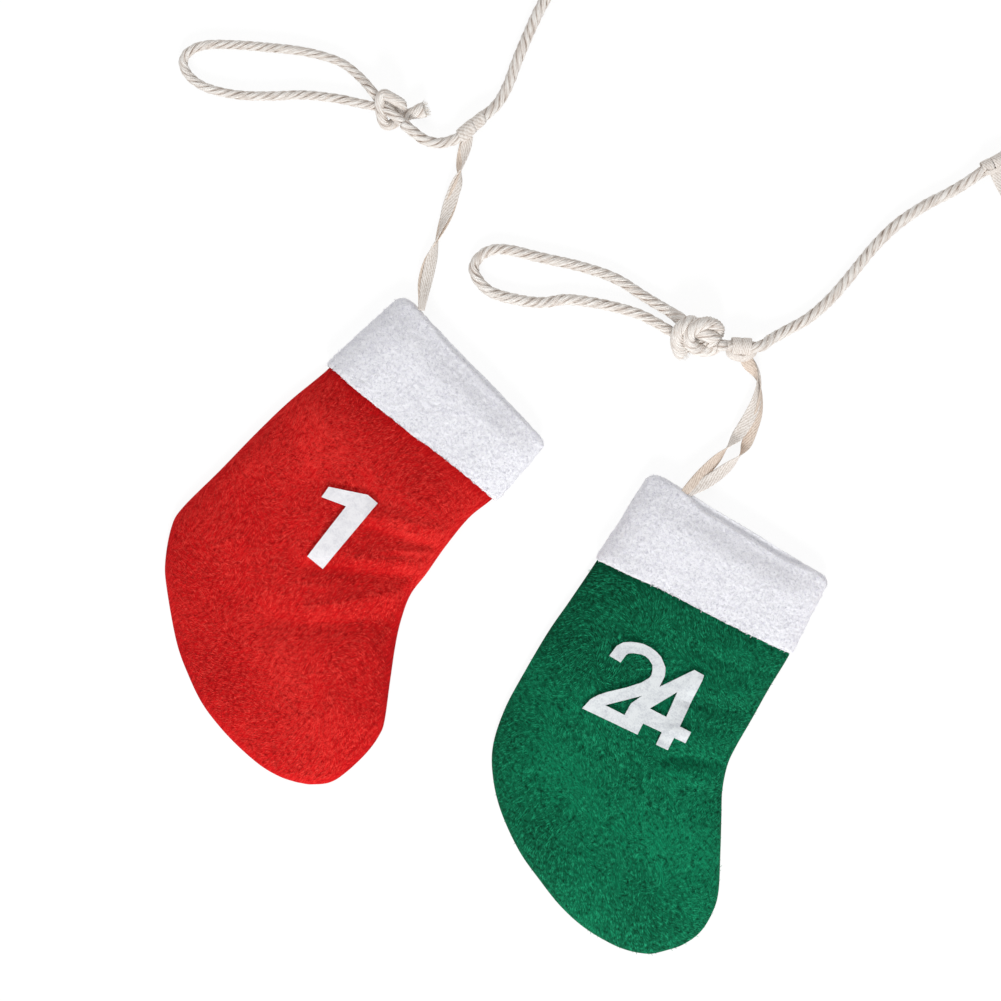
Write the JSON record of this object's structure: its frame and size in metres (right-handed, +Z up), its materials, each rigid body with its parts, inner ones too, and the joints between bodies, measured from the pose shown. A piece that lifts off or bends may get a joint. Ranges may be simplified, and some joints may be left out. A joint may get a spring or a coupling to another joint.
{
  "type": "felt stocking advent garland",
  "caption": "Garland of small numbered felt stockings, red and green with white fleece cuffs, tied by cotton tapes to a cotton rope.",
  "frame": {"origin": "middle of the stockings' box at table height, with the garland laid flat", "axes": "+X along the two rows of stockings, away from stockings 1 and 24; +Y from the row of the high numbers to the row of the low ones; +Z up"},
  "size_m": [1.5779, 0.638, 0.0152],
  "materials": {
    "felt_red": "matt wool felt",
    "felt_green": "matt wool felt",
    "fleece_white": "soft short fleece",
    "felt_white": "matt cut felt",
    "cotton_rope": "twisted natural cotton",
    "cotton_tape": "twill cotton tape"
  },
  "bodies": {
    "rope": {"rope_line": "cotton_rope", "end_loop_first": "cotton_rope", "end_loop_last": "cotton_rope"},
    "hung_stocking_01": {"stocking_01": "felt_red", "cuff_01": "fleece_white", "hanger_tape_01": "cotton_tape", "number_01": "felt_white"},
    "hung_stocking_02": {"stocking_02": "felt_green", "cuff_02": "fleece_white"},
    "hung_stocking_03": {"stocking_03": "felt_red", "cuff_03": "fleece_white"},
    "hung_stocking_04": {"stocking_04": "felt_green", "cuff_04": "fleece_white"},
    "hung_stocking_05": {"stocking_05": "felt_red", "cuff_05": "fleece_white"},
    "hung_stocking_06": {"stocking_06": "felt_green", "cuff_06": "fleece_white"},
    "hung_stocking_07": {"stocking_07": "felt_red", "cuff_07": "fleece_white"},
    "hung_stocking_08": {"stocking_08": "felt_green", "cuff_08": "fleece_white"},
    "hung_stocking_09": {"stocking_09": "felt_red", "cuff_09": "fleece_white"},
    "hung_stocking_10": {"stocking_10": "felt_green", "cuff_10": "fleece_white"},
    "hung_stocking_11": {"stocking_11": "felt_red", "cuff_11": "fleece_white"},
    "hung_stocking_12": {"stocking_12": "felt_green", "cuff_12": "fleece_white"},
    "hung_stocking_13": {"stocking_13": "felt_red", "cuff_13": "fleece_white"},
    "hung_stocking_14": {"stocking_14": "felt_green", "cuff_14": "fleece_white"},
    "hung_stocking_15": {"stocking_15": "felt_red", "cuff_15": "fleece_white"},
    "hung_stocking_16": {"stocking_16": "felt_green", "cuff_16": "fleece_white"},
    "hung_stocking_17": {"stocking_17": "felt_red", "cuff_17": "fleece_white"},
    "hung_stocking_18": {"stocking_18": "felt_green", "cuff_18": "fleece_white"},
    "hung_stocking_19": {"stocking_19": "felt_red", "cuff_19": "fleece_white"},
    "hung_stocking_20": {"stocking_20": "felt_green", "cuff_20": "fleece_white"},
    "hung_stocking_21": {"stocking_21": "felt_red", "cuff_21": "fleece_white"},
    "hung_stocking_22": {"stocking_22": "felt_green", "cuff_22": "fleece_white"},
    "hung_stocking_23": {"stocking_23": "felt_red", "cuff_23": "fleece_white"},
    "hung_stocking_24": {"stocking_24": "felt_green", "cuff_24": "fleece_white", "hanger_tape_24": "cotton_tape", "number_24": "felt_white"}
  },
  "joints": [
    {"name": "swing_01", "type": "hinge", "parent": "rope", "child": "hung_stocking_01", "pos_m": [-0.64935, 0.01199, 0.00375], "axis": [-0.766, -0.6428, 0], "range_deg": [0, 90]},
    {"name": "swing_02", "type": "hinge", "parent": "rope", "child": "hung_stocking_02", "pos_m": [-0.56295, 0.07499, 0.00375], "axis": [1, 0, 0], "range_deg": [0, 90]},
    {"name": "swing_03", "type": "hinge", "parent": "rope", "child": "hung_stocking_03", "pos_m": [-0.43945, 0.07499, 0.00375], "axis": [1, 0, 0], "range_deg": [0, 90]},
    {"name": "swing_04", "type": "hinge", "parent": "rope", "child": "hung_stocking_04", "pos_m": [-0.32595, 0.07499, 0.00375], "axis": [1, 0, 0], "range_deg": [0, 90]},
    {"name": "swing_05", "type": "hinge", "parent": "rope", "child": "hung_stocking_05", "pos_m": [-0.20245, 0.07499, 0.00375], "axis": [1, 0, 0], "range_deg": [0, 90]},
    {"name": "swing_06", "type": "hinge", "parent": "rope", "child": "hung_stocking_06", "pos_m": [-0.08895, 0.07499, 0.00375], "axis": [1, 0, 0], "range_deg": [0, 90]},
    {"name": "swing_07", "type": "hinge", "parent": "rope", "child": "hung_stocking_07", "pos_m": [0.03455, 0.07499, 0.00375], "axis": [1, 0, 0], "range_deg": [0, 90]},
    {"name": "swing_08", "type": "hinge", "parent": "rope", "child": "hung_stocking_08", "pos_m": [0.14805, 0.07499, 0.00375], "axis": [1, 0, 0], "range_deg": [0, 90]},
    {"name": "swing_09", "type": "hinge", "parent": "rope", "child": "hung_stocking_09", "pos_m": [0.27155, 0.07499, 0.00375], "axis": [1, 0, 0], "range_deg": [0, 90]},
    {"name": "swing_10", "type": "hinge", "parent": "rope", "child": "hung_stocking_10", "pos_m": [0.38505, 0.07499, 0.00375], "axis": [1, 0, 0], "range_deg": [0, 90]},
    {"name": "swing_11", "type": "hinge", "parent": "rope", "child": "hung_stocking_11", "pos_m": [0.50855, 0.07499, 0.00375], "axis": [1, 0, 0], "range_deg": [0, 90]},
    {"name": "swing_12", "type": "hinge", "parent": "rope", "child": "hung_stocking_12", "pos_m": [0.62205, 0.07499, 0.00375], "axis": [1, 0, 0], "range_deg": [0, 90]},
    {"name": "swing_13", "type": "hinge", "parent": "rope", "child": "hung_stocking_13", "pos_m": [0.74555, 0.07499, 0.00375], "axis": [1, 0, 0], "range_deg": [0, 90]},
    {"name": "swing_14", "type": "hinge", "parent": "rope", "child": "hung_stocking_14", "pos_m": [0.66355, -0.00301, 0.00375], "axis": [-1, 0, 0], "range_deg": [0, 90]},
    {"name": "swing_15", "type": "hinge", "parent": "rope", "child": "hung_stocking_15", "pos_m": [0.54005, -0.00301, 0.00375], "axis": [-1, 0, 0], "range_deg": [0, 90]},
    {"name": "swing_16", "type": "hinge", "parent": "rope", "child": "hung_stocking_16", "pos_m": [0.42655, -0.00301, 0.00375], "axis": [-1, 0, 0], "range_deg": [0, 90]},
    {"name": "swing_17", "type": "hinge", "parent": "rope", "child": "hung_stocking_17", "pos_m": [0.30305, -0.00301, 0.00375], "axis": [-1, 0, 0], "range_deg": [0, 90]},
    {"name": "swing_18", "type": "hinge", "parent": "rope", "child": "hung_stocking_18", "pos_m": [0.18955, -0.00301, 0.00375], "axis": [-1, 0, 0], "range_deg": [0, 90]},
    {"name": "swing_19", "type": "hinge", "parent": "rope", "child": "hung_stocking_19", "pos_m": [0.06605, -0.00301, 0.00375], "axis": [-1, 0, 0], "range_deg": [0, 90]},
    {"name": "swing_20", "type": "hinge", "parent": "rope", "child": "hung_stocking_20", "pos_m": [-0.04745, -0.00301, 0.00375], "axis": [-1, 0, 0], "range_deg": [0, 90]},
    {"name": "swing_21", "type": "hinge", "parent": "rope", "child": "hung_stocking_21", "pos_m": [-0.17095, -0.00301, 0.00375], "axis": [-1, 0, 0], "range_deg": [0, 90]},
    {"name": "swing_22", "type": "hinge", "parent": "rope", "child": "hung_stocking_22", "pos_m": [-0.28445, -0.00301, 0.00375], "axis": [-1, 0, 0], "range_deg": [0, 90]},
    {"name": "swing_23", "type": "hinge", "parent": "rope", "child": "hung_stocking_23", "pos_m": [-0.44195, -0.00301, 0.00375], "axis": [-0.9063, -0.4226, 0], "range_deg": [0, 90]},
    {"name": "swing_24", "type": "hinge", "parent": "rope", "child": "hung_stocking_24", "pos_m": [-0.54215, -0.07561, 0.0056], "axis": [-0.9986, 0.0523, 0], "range_deg": [0, 90]}
  ]
}
